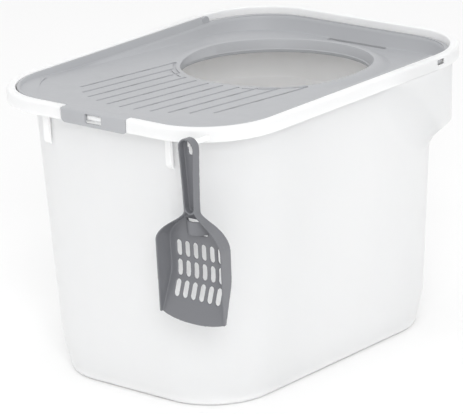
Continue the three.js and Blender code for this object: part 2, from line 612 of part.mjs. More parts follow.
function buildScoop() {
  const full = scoopBody(0, 0, PAN_DEPTH, 0);
  const hollow = scoopBody(SCOOP_WALL, SCOOP_WALL, PAN_DEPTH + 1, 12);
  const handleEndZ = scoopTopZ - HANDLE_LENGTH;
  const handleBackY = scoopBackY - HANDLE_SET;
  const handleFrontY = handleBackY - HANDLE_DEPTH;
  const handleFront = box(2 * PAN_WIDTH, PAN_DEPTH, HANDLE_LENGTH + 12, HOOK_X,
    handleFrontY - PAN_DEPTH / 2, scoopTopZ - HANDLE_LENGTH / 2 + 6);
  const shoulderRun = SHOULDER_LENGTH * 0.8;
  const shoulderFront = slabAlongX([
    [handleFrontY, handleEndZ + 1], [scoopBackY - PAN_DEPTH, handleEndZ - shoulderRun],
    [scoopBackY - PAN_DEPTH - 9, handleEndZ - shoulderRun], [scoopBackY - PAN_DEPTH - 9, handleEndZ + 1],
  ], 2 * PAN_WIDTH, HOOK_X);
  let scoop = full.subtract(hollow).subtract(handleFront).subtract(shoulderFront);
  // A cross wall closes the handle's channel at its lower end.
  const crossWall = box(HANDLE_NECK_WIDTH, HANDLE_DEPTH, SCOOP_WALL,
    HOOK_X, (handleBackY + handleFrontY) / 2, handleEndZ);
  scoop = scoop.add(crossWall);
  const through = [scoopBackY - PAN_DEPTH - 2, scoopBackY + 1];
  const slotZ = scoopTopZ - HANG_MARGIN - HANG_SLOT_LENGTH / 2 + GAP;
  const hangSlot = frontSlot(HANG_SLOT_WIDTH, HANG_SLOT_LENGTH, HOOK_X, slotZ, through[0], through[1], 2.5);
  scoop = scoop.subtract(hangSlot);
  const firstRow = handleEndZ - SHOULDER_LENGTH - SLOT_LENGTH / 2;
  for (let row = 0; row < SLOT_ROWS; row += 1) {
    for (let column = 0; column < SLOT_COLUMNS; column += 1) {
      const x = HOOK_X + (column - (SLOT_COLUMNS - 1) / 2) * SLOT_PITCH_X;
      const z = firstRow - row * SLOT_PITCH_Z;
      scoop = scoop.subtract(frontSlot(SLOT_WIDTH, SLOT_LENGTH, x, z, through[0], through[1]));
    }
  }
  const windowTop = handleEndZ - LOOP_DROP;
  scoop = scoop.subtract(box(LOOP_WINDOW_WIDTH, 2 * HANDLE_DEPTH, LOOP_WINDOW_HEIGHT, HOOK_X, scoopBackY,
    windowTop - LOOP_WINDOW_HEIGHT / 2));
  return mesh('scoop', scoop.add(loop(windowTop)), scoopGrey);
}

// A thin arch, seen from above, that stands in front of the window.
function loop(windowTop) {
  const shape = new THREE.Shape();
  const half = LOOP_WIDTH / 2;
  shape.moveTo(-half, -1).quadraticCurveTo(0, 2 * LOOP_RISE, half, -1);
  shape.lineTo(half - 2.5, -1).quadraticCurveTo(0, 2 * LOOP_RISE - 4, 2.5 - half, -1).closePath();
  const options = { depth: LOOP_HEIGHT, bevelEnabled: false, curveSegments: 10 };
  const geometry = new THREE.ExtrudeGeometry(shape, options);
  geometry.applyMatrix4(new THREE.Matrix4().makeBasis(
    new THREE.Vector3(-1, 0, 0), new THREE.Vector3(0, -1, 0), new THREE.Vector3(0, 0, 1)));
  return solid(geometry.translate(HOOK_X, scoopBackY - SCOOP_WALL, windowTop - LOOP_HEIGHT));
}

const litterBox = new THREE.Group();
litterBox.add(buildBin(), buildLid(), buildScoop());
export default litterBox;
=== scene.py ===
"""Top-entry cat litter box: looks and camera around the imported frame.

The three mouldings are built here in millimetres, around the CAD's sizes with finer steps, and scaled to
metres. +Z up, -Y is the latch end, origin at the centre of the base.
"""
import math
import bmesh
import bpy
import numpy as np
from mathutils import Matrix, Vector


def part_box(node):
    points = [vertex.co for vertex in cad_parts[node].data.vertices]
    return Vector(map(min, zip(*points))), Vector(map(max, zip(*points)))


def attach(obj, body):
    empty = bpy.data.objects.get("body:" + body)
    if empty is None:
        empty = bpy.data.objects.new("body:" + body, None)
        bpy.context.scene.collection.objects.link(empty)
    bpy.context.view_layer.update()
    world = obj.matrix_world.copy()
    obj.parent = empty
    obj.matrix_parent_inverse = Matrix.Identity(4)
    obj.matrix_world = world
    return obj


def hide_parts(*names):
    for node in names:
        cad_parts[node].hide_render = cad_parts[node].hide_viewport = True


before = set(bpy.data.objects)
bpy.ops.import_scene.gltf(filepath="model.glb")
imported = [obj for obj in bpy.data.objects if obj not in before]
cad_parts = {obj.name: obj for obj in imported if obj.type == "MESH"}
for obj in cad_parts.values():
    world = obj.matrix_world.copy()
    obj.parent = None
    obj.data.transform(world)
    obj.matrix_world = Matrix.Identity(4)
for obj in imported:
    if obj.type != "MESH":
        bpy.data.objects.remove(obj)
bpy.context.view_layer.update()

# ---------- sizes, in mm ----------
(BIN_LOW, BIN_HIGH) = ([v * 1000 for v in p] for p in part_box("bin"))
SCOOP_HIGH = [v * 1000 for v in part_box("scoop")[1]]
WIDTH = BIN_HIGH[0] - BIN_LOW[0]
LENGTH = 2 * BIN_HIGH[1]
HEIGHT = BIN_HIGH[2]
FRONT_Y = -LENGTH / 2
WALL = 2.2
RIM_FRONT_RADIUS, RIM_REAR_RADIUS = 102, 106
RIM_WIDTH, SKIRT, LEDGE_DEPTH = 11.5, 17, 14.4
SKIRT_Z, LEDGE_Z = HEIGHT - SKIRT, HEIGHT - LEDGE_DEPTH
INNER_SKIRT = RIM_WIDTH - WALL
SIDE_INSET, FRONT_INSET, REAR_INSET = 12.8, 22.5, 25.5
TUB_TOP_RADIUS, TUB_BASE_RADIUS = 126, 105
SIDE_DRAFT, FRONT_DRAFT, REAR_DRAFT = 0.086, 0.018, 0.046
FOOT_RISE, FOOT_RUN, FOOT_SHARPEN, BASE_ROUND = 56, 12.5, 24, 5
BULGE_INSET, BULGE_REAR_INSET, BULGE_RADIUS, BULGE_DRAFT = 1.2, 8.5, 112, 0.05
BULGE_TOP_Y, BULGE_FOOT_Y, BULGE_FOOT_Z = 90, 161, 276
BULGE_SIDE_RUN, BULGE_FOOT_RUN = 46, 32
HINGE_Y, HINGE_Z = 157, HEIGHT - 7.6
LATCH_WIDTH, LATCH_THICK, LATCH_CORNER, LATCH_DROP, LATCH_GAP = 107, 2.6, 6, 18.5, 0.9
LID_TOP_Z = HEIGHT - 0.8
LIP_INSET, LIP_WIDTH = RIM_WIDTH + 1.6, 3.2
LIP_BOTTOM = LEDGE_Z + 0.6
REAR_LIP_Z = HEIGHT - 10
PLATE_FALL, PLATE_FRONT_Z = 0.06, HEIGHT - 1.6
ENTRY_RADIUS, ENTRY_Y = 119, 79.6
FUNNEL_RUN, FUNNEL_DROP, COLLAR_DROP = 5.4, 5.6, 4.4
RIDGE_HEIGHT, RIDGE_WIDTH = 7.5, 24
HOOK_X, HOOK_Z = 166, HEIGHT - 8
RIB_X, RIB_WIDTH, RIB_STAND = 101.5, 8.5, 2.2
GROOVE_WIDTH, GROOVE_DEPTH, DRAIN_WIDTH = 4.2, 1.2, 3.9
GROOVES, GROOVE_PITCH = 11, 22.2
FIELD_FRONT_Y, FIELD_RADIUS = -218, 152     # the arc that the grooves start on
GROOVE_STOP_RADIUS = 133                    # where they end, round the entry
ARC_RADIUS, ARC_RADIUS_STEP = 132, 7        # the outer grooves' turned ends
ARC_SWEEP, ARC_SWEEP_STEP = 27, 9
DRAIN_LENGTH, DRAIN_PITCH, DRAIN_START, DRAIN_SHIFT = 17, 47, 20, 12
TRAY_GAP = 3
RIM_ROUND, RIM_INNER_ROUND, FLOOR_ROUND = 3.2, 2, 12
RIB_LENGTH = 44
PIN_RADIUS, BEARING_RADIUS, LUG_RADIUS = 2.4, 2.9, 6.6
CATCH_WIDTH = 24.6


# ---------- mesh helpers ----------
def plan(side, front, rear, front_radius, rear_radius, arc=26, along=26, across=14):
    """A rounded rectangle inside the rim's outline, counter-clockwise from its front right corner."""
    half, y0, y1 = WIDTH / 2 - side, FRONT_Y + front, LENGTH / 2 - rear
    corners = ((half - front_radius, y0 + front_radius, -90, front_radius, along),
               (half - rear_radius, y1 - rear_radius, 0, rear_radius, across),
               (rear_radius - half, y1 - rear_radius, 90, rear_radius, along),
               (front_radius - half, y0 + front_radius, 180, front_radius, across))
    points = []
    for k, (cx, cy, start, radius, steps) in enumerate(corners):
        for i in range(arc + 1):
            a = math.radians(start + 90 * i / arc)
            points.append((cx + radius * math.cos(a), cy + radius * math.sin(a)))
        nx, ny, turn, r = corners[(k + 1) % 4][:4]
        a = math.radians(turn)
        end, last = np.array((nx + r * math.cos(a), ny + r * math.sin(a))), np.array(points[-1])
        points += [tuple(last + (end - last) * j / steps) for j in range(1, steps)]
    return np.array(points)


def rim_plan(inset):
    return plan(inset, inset, inset, RIM_FRONT_RADIUS - inset, RIM_REAR_RADIUS - inset)


def at_height(points, z):
    level = z(points[:, 1]) if callable(z) else np.full(len(points), float(z))
    return np.column_stack((points, level))


def make(name, verts, faces):
    mesh = bpy.data.meshes.new(name)
    mesh.from_pydata([tuple(v) for v in verts], [], faces)
    bm = bmesh.new()
    bm.from_mesh(mesh)
    bmesh.ops.remove_doubles(bm, verts=bm.verts, dist=1e-4)
    bmesh.ops.recalc_face_normals(bm, faces=bm.faces)
    bm.to_mesh(mesh)
    bm.free()
    obj = bpy.data.objects.new(name, mesh)
    bpy.context.scene.collection.objects.link(obj)
    return obj


def loft(name, rings, capped=True):
    """A closed body through a stack of rings. Without caps the last ring joins the first."""
    n, count = len(rings[0]), len(rings)
    faces = []
    for r in range(count - 1 if capped else count):
        s = (r + 1) % count
        faces += [(r * n + i, r * n + (i + 1) % n, s * n + (i + 1) % n, s * n + i) for i in range(n)]
    if capped:
        faces += [tuple(range(n))[::-1], tuple(range((count - 1) * n, count * n))]
    return make(name, np.vstack(rings), faces)


def prism(outline, depth, place):
    """An outline (u, v) extruded to the given depths (w0, w1); place(u, v, w) gives each point in space."""
    n = len(outline)
    verts = [place(u, v, w) for w in depth for u, v in outline]
    faces = [(i, (i + 1) % n, n + (i + 1) % n, n + i) for i in range(n)]
    return make("prism", verts, faces + [tuple(range(n))[::-1], tuple(range(n, 2 * n))])


def along_x(outline, width, x=0):
    """An outline in the Y-Z plane, extruded along X and centred on x."""
    return prism(outline, (x - width / 2, x + width / 2), lambda u, v, w: (w, u, v))


def along_y(outline, y0, y1):
    """An outline in the X-Z plane, extruded from y0 to y1."""
    return prism(outline, (y0, y1), lambda u, v, w: (u, w, v))


def along_z(outline, z0, z1):
    """An outline in the X-Y plane, extruded from z0 to z1."""
    return prism(outline, (z0, z1), lambda u, v, w: (u, v, w))


def block(x0, x1, y0, y1, z0, z1):
    return along_y([(x0, z0), (x1, z0), (x1, z1), (x0, z1)], y0, y1)


def rounded(cx, cy, width, height, radius, arc=8):
    """A rounded rectangle's outline about (cx, cy)."""
    points = []
    for sx, sy, start in ((1, -1, -90), (1, 1, 0), (-1, 1, 90), (-1, -1, 180)):
        for i in range(arc + 1):
            a = math.radians(start + 90 * i / arc)
            points.append((cx + sx * (width / 2 - radius) + radius * math.cos(a),
                           cy + sy * (height / 2 - radius) + radius * math.sin(a)))
    return points


def disc(radius, cy, cz, steps=40):
    turn = 2 * math.pi / steps
    return [(cy + radius * math.cos(turn * i), cz + radius * math.sin(turn * i)) for i in range(steps)]


def join(objects):
    """Several bodies as one mesh."""
    bm = bmesh.new()
    for o in objects:
        bm.from_mesh(o.data)
    bm.to_mesh(objects[0].data)
    bm.free()
    for o in objects[1:]:
        drop(o)
    return objects[0]


def drop(obj):
    mesh = obj.data
    bpy.data.objects.remove(obj)
    bpy.data.meshes.remove(mesh)


def combine(obj, other, operation):
    """A boolean of two closed bodies; the second one is used up."""
    mod = obj.modifiers.new("combine", "BOOLEAN")
    mod.object, mod.operation, mod.solver = other, operation, "MANIFOLD"
    bake(obj)
    drop(other)
    return obj


def bake(obj):
    graph = bpy.context.evaluated_depsgraph_get()
    mesh = bpy.data.meshes.new_from_object(obj.evaluated_get(graph))
    old = obj.data
    obj.modifiers.clear()
    obj.data = mesh
    bpy.data.meshes.remove(old)


def cut(obj, other):
    return combine(obj, other, "DIFFERENCE")


def add(obj, other):
    return combine(obj, other, "UNION")


def finished(obj, name, angle=32):
    """Scales a body to metres and smooths its shading up to an angle."""
    obj.name = obj.data.name = name
    obj.data.transform(Matrix.Scale(0.001, 4))
    obj.data.shade_smooth()
    obj.data.set_sharp_from_angle(angle=math.radians(angle))
    return obj


def ramp(t):
    t = np.clip(t, 0, 1)
    return t * t * (3 - 2 * t)


# ---------- bin ----------
RAYS = np.arctan2(*plan(16, 16, 16, 100, 100, arc=34, along=36, across=22).T[::-1])


def radii(polygon, angles=RAYS):
    """Distance from the middle to a closed outline, along each ray."""
    closed = np.vstack((polygon, polygon[:1]))
    turn = np.unwrap(np.arctan2(closed[:, 1], closed[:, 0]))
    t = (angles - turn[0]) % (2 * math.pi) + turn[0]
    k = np.clip(np.searchsorted(turn, t, "right") - 1, 0, len(polygon) - 1)
    p, step = closed[k], closed[k + 1] - closed[k]
    return (p[:, 0] * step[:, 1] - p[:, 1] * step[:, 0]) / (np.cos(t) * step[:, 1] - np.sin(t) * step[:, 0])


def polar(r, z):
    return np.column_stack((r * np.cos(RAYS), r * np.sin(RAYS), np.full(len(RAYS), float(z))))


def tub_radii(z, inwards=0.0):
    """The tub's wall at one height: drafted sides, a curved foot, and the rear bulge blended in."""
    drop_, foot = SKIRT_Z - z, max(0.0, 1 - z / FOOT_RISE)
    extra = FOOT_RUN * foot ** 2
    radius = TUB_BASE_RADIUS + (TUB_TOP_RADIUS - TUB_BASE_RADIUS) * z / SKIRT_Z - FOOT_SHARPEN * foot ** 3
    tub = radii(plan(SIDE_INSET + SIDE_DRAFT * drop_ + extra, FRONT_INSET + FRONT_DRAFT * drop_ + extra,
                     REAR_INSET + REAR_DRAFT * drop_ + extra, radius, radius))
    lean = BULGE_DRAFT * drop_
    bulge = radii(plan(BULGE_INSET + lean, FRONT_INSET + 40, BULGE_REAR_INSET + lean,
                       TUB_TOP_RADIUS, BULGE_RADIUS - lean))
    y = bulge * np.sin(RAYS)
    slope = np.array((SKIRT_Z - BULGE_FOOT_Z, BULGE_FOOT_Y - BULGE_TOP_Y))
    slope = slope / np.hypot(*slope)
    before = -((y - BULGE_TOP_Y) * slope[0] + (z - SKIRT_Z) * slope[1])
    below = np.full(len(y), BULGE_FOOT_Z - z)
    far = np.hypot(np.maximum(before, 0) / BULGE_SIDE_RUN, np.maximum(below, 0) / BULGE_FOOT_RUN)
    weight = np.clip(1 - far, 0, 1) ** 1.7
    return np.where(bulge > tub, tub + (bulge - tub) * weight, tub) - inwards


def build_bin():
    rings = []
    for i in range(7):
        a = math.pi / 2 * i / 6
        z = BASE_ROUND * (1 - math.cos(a))
        rings.append(polar(tub_radii(z) - BASE_ROUND * (1 - math.sin(a)), z))
    top = LEDGE_Z - WALL
    levels = np.concatenate((np.linspace(BASE_ROUND, FOOT_RISE, 12)[1:], np.linspace(FOOT_RISE, 240, 8)[1:],
                             np.linspace(240, top, 46)[1:]))
    rings += [polar(tub_radii(z), z) for z in levels]
    inner = radii(rim_plan(INNER_SKIRT))
    rings.append(polar(np.maximum(inner, tub_radii(top)), top))
    rings.append(polar(inner, top + 0.6))
    profile = [(INNER_SKIRT, HEIGHT - WALL), (WALL, HEIGHT - WALL), (WALL, SKIRT_Z + 0.6),
               (WALL - 0.5, SKIRT_Z), (0.7, SKIRT_Z), (0, SKIRT_Z + 0.8)]
    profile += [(RIM_ROUND * (1 - math.cos(a)), HEIGHT - RIM_ROUND * (1 - math.sin(a)))
                for a in np.linspace(0, math.pi / 2, 9)]
    profile += [(RIM_WIDTH - RIM_INNER_ROUND * (1 - math.sin(a)),
                 HEIGHT - RIM_INNER_ROUND * (1 - math.cos(a)))
                for a in np.linspace(0, math.pi / 2, 7)]
    profile += [(RIM_WIDTH, LEDGE_Z + 1), (RIM_WIDTH + 0.1, LEDGE_Z + 0.2), (RIM_WIDTH + 0.3, LEDGE_Z)]
    rings += [polar(radii(rim_plan(inset)), z) for inset, z in profile]
    # the ledge narrows the opening at the bulge, and the bulge's own thin wall starts under it
    edge = np.minimum(tub_radii(LEDGE_Z, WALL), radii(rim_plan(RIM_WIDTH + 1)))
    under = LEDGE_Z - 2 * WALL
    rings += [polar(edge + 0.5, LEDGE_Z), polar(edge, LEDGE_Z - 0.5), polar(edge, under)]
    # levels inside the floor's rounding would fold back, so they are left out
    rings += [polar(tub_radii(z, WALL), z) for z in levels[::-1]
              if WALL + FLOOR_ROUND + 0.5 < z < under - 0.4]
    for i in range(7):
        a = math.pi / 2 * (1 - i / 6)
        z = WALL + FLOOR_ROUND * (1 - math.cos(a))
        rings.append(polar(tub_radii(max(z, BASE_ROUND), WALL) - FLOOR_ROUND * (1 - math.sin(a)), z))
    body = loft("bin", rings)
    notch = LATCH_WIDTH / 2 + LATCH_GAP
    bed = LID_TOP_Z - WALL - 0.6
    recess = rounded(0, (SKIRT_Z + HEIGHT) / 2, 2 * notch, SKIRT + 4, 1.5)
    body = cut(body, along_y(recess, FRONT_Y - 3, FRONT_Y + INNER_SKIRT - 0.4))
    body = cut(body, block(-notch, notch, FRONT_Y - 3, FRONT_Y + RIM_WIDTH + 2, bed, HEIGHT + 3))
    for side in (-1, 1):
        x = side * WIDTH / 2
        body = cut(body, along_x(rounded(HINGE_Y, HINGE_Z, 14, 7, 1.2), 10, x))
        body = cut(body, along_x(disc(BEARING_RADIUS, HINGE_Y, HINGE_Z), 8,
                                 side * (WIDTH / 2 - RIM_WIDTH + WALL / 2)))
        face = FRONT_Y + FRONT_INSET - RIB_STAND
        back = FRONT_Y + FRONT_INSET + 2.4
        foot = SKIRT_Z - RIB_LENGTH
        rib = [(back, LEDGE_Z - 1), (face, LEDGE_Z - 1), (face, foot + 6),
               (face + 0.8, foot + 4), (back, foot)]
        body = add(body, along_x(rib, RIB_WIDTH, side * RIB_X))
    tip = SCOOP_HIGH[1] - 6 - WALL - 2.6
    peg = block(HOOK_X - 2, HOOK_X + 2, tip, FRONT_Y + 25, HOOK_Z - 5, HOOK_Z)
    body = add(body, add(peg, block(HOOK_X - 2, HOOK_X + 2, tip, tip + 2, HOOK_Z - 5, HOOK_Z + 2.5)))
    nose, root, high = FRONT_Y - 0.3 + LATCH_THICK + 0.5, FRONT_Y + INNER_SKIRT + WALL / 2, HEIGHT - 5.3
    catch = [(root, high), (nose + 0.6, high), (nose, high - 0.6), (nose, high - 4.5), (nose + 2, high - 6.5),
             (root, high - 6.5)]
    body = add(body, along_x(catch, CATCH_WIDTH))
    return finished(body, "bin_shell")


# ---------- lid ----------
def plate_z(y):
    return PLATE_FRONT_Z - PLATE_FALL * (y - FRONT_Y)


def tray_plan(extra):
    inwards, rear = WALL + TRAY_GAP + extra, BULGE_REAR_INSET + WALL + TRAY_GAP + extra
    return plan(SIDE_INSET + inwards, FRONT_INSET + inwards, rear, TUB_TOP_RADIUS - inwards,
                RIM_REAR_RADIUS - rear)


def on_plate(points):
    return [(x, y, z + plate_z(y)) for x, y, z in points]


def groove(x, y0, y1, width, depth):
    verts = on_plate([(x + sx, y, z) for z, w in ((-depth, width * 0.46), (0.02, width / 2), (2, width / 2))
                      for sx, y in ((-w, y0 + 0.6), (w, y0 + 0.6), (w, y1), (-w, y1))])
    faces = [(3, 2, 1, 0), (8, 9, 10, 11)]
    for low in (0, 4):
        faces += [(low + i, low + (i + 1) % 4, low + 4 + (i + 1) % 4, low + 4 + i) for i in range(4)]
    return make("groove", verts, faces)


def arc_groove(radius, start, end, width, depth, steps=24):
    verts, faces = [], []
    for i in range(steps + 1):
        a = start + (end - start) * i / steps
        for r, z in ((radius - width / 2, 2), (radius - width / 2, -depth), (radius + width / 2, -depth),
                     (radius + width / 2, 2)):
            verts.append((r * math.cos(a), ENTRY_Y + r * math.sin(a), z))
        if i < steps:
            b = 4 * i
            faces += [(b + k, b + (k + 1) % 4, b + 4 + (k + 1) % 4, b + 4 + k) for k in range(4)]
    faces += [(3, 2, 1, 0), tuple(range(4 * steps, 4 * steps + 4))]
    return make("arc", on_plate(verts), faces)


def entry_ring():
    """Ridge, funnel and collar round the entry; they follow the plate's fall."""
    outer, steps = ENTRY_RADIUS + FUNNEL_RUN, 200
    rings = []
    turn = np.linspace(0, 2 * math.pi, steps, endpoint=False)
    height = RIDGE_HEIGHT * ramp((np.sin(turn) + 0.8) / 1.15)
    throat = outer - FUNNEL_RUN * ramp((np.sin(turn) + 0.75) / 0.85)
    crest = [(outer + RIDGE_WIDTH * s, 0.5 + 0.5 * math.cos(math.pi * s ** 1.25))
             for s in np.linspace(1, 0.06, 16)]
    end = -FUNNEL_DROP - COLLAR_DROP
    profile = [(outer + RIDGE_WIDTH, 0.5 - WALL, 0)] + [(r, -0.15, h) for r, h in crest]
    profile += [(outer - 0.2 * (outer - throat) / FUNNEL_RUN, -0.5, 0.96),
                (outer - 0.9 * (outer - throat) / FUNNEL_RUN, -1.0, 0.88),
                (throat + (outer - throat) * 0.18, -FUNNEL_DROP + 0.6, 0),
                (throat + (outer - throat) * 0.065, -FUNNEL_DROP + 0.1, 0),
                (throat, -FUNNEL_DROP - 0.4, 0), (throat, end + 0.5, 0), (throat + 0.5, end, 0),
                (throat + WALL, end, 0),
                (throat + WALL, -FUNNEL_DROP, 0), (outer + WALL, -WALL - 0.3, 0),
                (outer + 2 * WALL, 0.5 - WALL, 0)]
    for radius, z, h in profile:
        y = ENTRY_Y + radius * np.sin(turn)
        rings.append(np.column_stack((radius * np.cos(turn), y, plate_z(y) + z + h * height)))
    return loft("ring", rings, capped=False)


def build_lid():
    lip = loft("lid", [at_height(rim_plan(LIP_INSET + 0.4), LIP_BOTTOM),
                       at_height(rim_plan(LIP_INSET), LIP_BOTTOM + 0.4)]
               + [at_height(rim_plan(LIP_INSET + 1.1 * (1 - math.cos(a))),
                            LID_TOP_Z - 1.1 * (1 - math.sin(a)))
                  for a in np.linspace(0, math.pi / 2, 6)])
    tray = loft("tray", [at_height(tray_plan(2), lambda y: np.minimum(plate_z(y) - WALL, LIP_BOTTOM + 1)),
                         at_height(tray_plan(0.6),
                                   lambda y: np.minimum(plate_z(y) - WALL + 0.7, LIP_BOTTOM + 1.2)),
                         at_height(tray_plan(0),
                                   lambda y: np.minimum(plate_z(y) - WALL + 2, LIP_BOTTOM + 1.4)),
                         at_height(tray_plan(0), LIP_BOTTOM + 2)])
    shelf = lambda y: np.maximum(plate_z(y) + 0.15, LIP_BOTTOM + WALL)
    rise = lambda y, part: plate_z(y) + part * (shelf(y) - plate_z(y))
    well = loft("well", [at_height(tray_plan(WALL + 7), plate_z),
                         at_height(tray_plan(WALL + 4.6), lambda y: rise(y, 0.06)),
                         at_height(tray_plan(WALL + 3.2), lambda y: rise(y, 0.2)),
                         at_height(tray_plan(WALL + 1.0), lambda y: rise(y, 0.8)),
                         at_height(tray_plan(WALL + 0.3), lambda y: rise(y, 0.95)),
                         at_height(tray_plan(WALL - 0.6), lambda y: shelf(y) + 0.1),
                         at_height(tray_plan(WALL - 0.6), HEIGHT + 20)])
    brim = LIP_INSET + LIP_WIDTH
    dish = loft("dish", [at_height(rim_plan(brim + 4), shelf),
                         at_height(rim_plan(brim + 2.4), lambda y: shelf(y) + 0.1 * (LID_TOP_Z - shelf(y))),
                         at_height(rim_plan(brim + 0.9),
                                   lambda y: shelf(y) + 0.75 * np.maximum(LID_TOP_Z - shelf(y), 0)),
                         at_height(rim_plan(brim), lambda y: np.maximum(shelf(y) + 0.2, LID_TOP_Z)),
                         at_height(rim_plan(brim), HEIGHT + 20)])
    cavity = loft("cavity", [at_height(rim_plan(brim + WALL), lambda y: plate_z(y) - 50),
                             at_height(rim_plan(brim + WALL), lambda y: plate_z(y) - WALL)])
    cavity = combine(cavity, block(-WIDTH, WIDTH, -LENGTH, -110, 0, 2 * HEIGHT), "INTERSECT")
    lid = add(lip, tray)
    for body in (well, dish, cavity):
        lid = cut(lid, body)
    lid = cut(lid, block(-WIDTH, WIDTH, HINGE_Y - 7.6, LENGTH, REAR_LIP_Z, HEIGHT + 20))
    radius = ENTRY_RADIUS + FUNNEL_RUN + WALL / 2
    hole = [(radius * math.cos(a), ENTRY_Y + radius * math.sin(a))
            for a in np.linspace(0, 2 * math.pi, 160, endpoint=False)]
    lid = cut(lid, along_z(hole, HEIGHT - 60, HEIGHT + 20))
    lid = add(lid, entry_ring())
    strips, drains, arcs = [], [], []
    middle = (GROOVES - 1) / 2
    for k in range(GROOVES):
        x = (k - middle) * GROOVE_PITCH
        y0 = FIELD_FRONT_Y + FIELD_RADIUS - math.sqrt(FIELD_RADIUS ** 2 - x ** 2)
        y1 = ENTRY_Y - math.sqrt(GROOVE_STOP_RADIUS ** 2 - x ** 2)
        strips.append(groove(x, y0, y1, GROOVE_WIDTH, GROOVE_DEPTH))
        start = y0 + DRAIN_START + DRAIN_SHIFT * ((k / 2) % 2)
        while k % 2 == 0 and start + DRAIN_LENGTH < y1 - 8:
            drain = rounded(x, start + DRAIN_LENGTH / 2, DRAIN_WIDTH, DRAIN_LENGTH, 1.5)
            drains.append(along_z(drain, HEIGHT - 40, HEIGHT + 5))
            start += DRAIN_PITCH
    for side in (-1, 1):
        for turn in (0, 1):
            radius = ARC_RADIUS + ARC_RADIUS_STEP * turn
            first = math.acos((middle - turn) * GROOVE_PITCH / radius)
            last = first + math.radians(ARC_SWEEP - ARC_SWEEP_STEP * turn)
            ends = (-first, -last) if side > 0 else (first - math.pi, last - math.pi)
            arcs.append(arc_groove(radius, *ends, GROOVE_WIDTH - 0.4, GROOVE_DEPTH))
    for group in (strips, drains, arcs[0::2], arcs[1::2]):
        lid = cut(lid, join(group))
    slot_y = LENGTH / 2 - BULGE_REAR_INSET - WALL - TRAY_GAP - WALL - 8
    lid = cut(lid, along_z(rounded(0, slot_y, 98, 6, 2.2), HEIGHT - 60, HEIGHT + 5))
    lid = add(lid, build_latch())
    for side in (-1, 1):
        lid = add(lid, build_pin(side))
    return finished(lid, "lid_moulding")


def build_latch():
    face = FRONT_Y - 0.3
    back, top, low = face + LATCH_THICK, LID_TOP_Z, LID_TOP_Z - LATCH_DROP
    half = LATCH_WIDTH / 2
    layers = []
    for y, shrink in ((back, 0.0), (face + 0.7, 0.0), (face + 0.2, 0.25), (face, 0.7)):
        outline = [(-half + shrink, top - 0.02)]
        for cx, start in ((-half + LATCH_CORNER, 180), (half - LATCH_CORNER, 270)):
            for i in range(9):
                a = math.radians(start + 90 * i / 8)
                r = LATCH_CORNER - shrink
                outline.append((cx + r * math.cos(a), low + LATCH_CORNER + r * math.sin(a)))
        outline.append((half - shrink, top - 0.02))
        layers.append(np.array([(x, y, z) for x, z in outline]))
    tab = loft("tab", layers)
    inner = FRONT_Y + LIP_INSET + LIP_WIDTH
    edge = [(face + 1.8 * (1 - math.sin(a)), top - 1.8 * (1 - math.cos(a)))
            for a in np.linspace(0, math.pi / 2, 6)]
    bridge = along_x([(face, top - WALL), (inner, top - WALL), (inner, top)] + edge, LATCH_WIDTH - 0.02)
    trim = along_x([(face - 1, top + 1), (face - 1, top - 1.8), (face, top - 1.8)] + edge[::-1]
                   + [(face + 1.8, top + 1)], LATCH_WIDTH + 4)
    tab = add(cut(tab, trim), bridge)
    return cut(tab, along_y(rounded(0, top - 2.6 - 5.75, 27, 11.5, 1.2), face - 5, face + 6))


def build_pin(side):
    lip_x, key_x = WIDTH / 2 - LIP_INSET, WIDTH / 2 - WALL - 0.6
    lug = add(along_x(disc(LUG_RADIUS, HINGE_Y, HINGE_Z), 4, side * (lip_x - 2)),
              along_x([(HINGE_Y - LUG_RADIUS, LIP_BOTTOM), (HINGE_Y + LUG_RADIUS, LIP_BOTTOM),
                       (HINGE_Y + LUG_RADIUS, HINGE_Z), (HINGE_Y - LUG_RADIUS, HINGE_Z)], 4.02,
                      side * (lip_x - 2)))
    shaft = along_x(disc(PIN_RADIUS, HINGE_Y, HINGE_Z), key_x - lip_x + 1, side * (key_x + lip_x - 1) / 2)
    key = along_x(rounded(HINGE_Y, HINGE_Z, 8.4, 3, 1.2), 2.6, side * (key_x - 1.3))
    return add(add(lug, shaft), key)


# ---------- scoop ----------
SCOOP_TOP, SCOOP_BACK = SCOOP_HIGH[2], SCOOP_HIGH[1]
SCOOP_WALL, HANDLE_TOP_WIDTH, HANDLE_NECK_WIDTH, HANDLE_DEPTH, HANDLE_LENGTH = 2.2, 25, 18, 10.5, 91
HANDLE_SET, SHOULDER_RUN = 6, 22
PAN_WIDTH, PAN_DEPTH, PAN_FLARE, PAN_LENGTH, SHOULDER_LENGTH = 96, 22, 4.5, 94, 43
RAMP_LENGTH, RAMP_RISE = 54, 19


def bezier(p0, p1, p2, p3, steps=14):
    t = np.linspace(0, 1, steps + 1)[:, None]
    p0, p1, p2, p3 = (np.array(p, float) for p in (p0, p1, p2, p3))
    curve = (1 - t) ** 3 * p0 + 3 * (1 - t) ** 2 * t * p1 + 3 * (1 - t) * t ** 2 * p2 + t ** 3 * p3
    return [tuple(p) for p in curve]


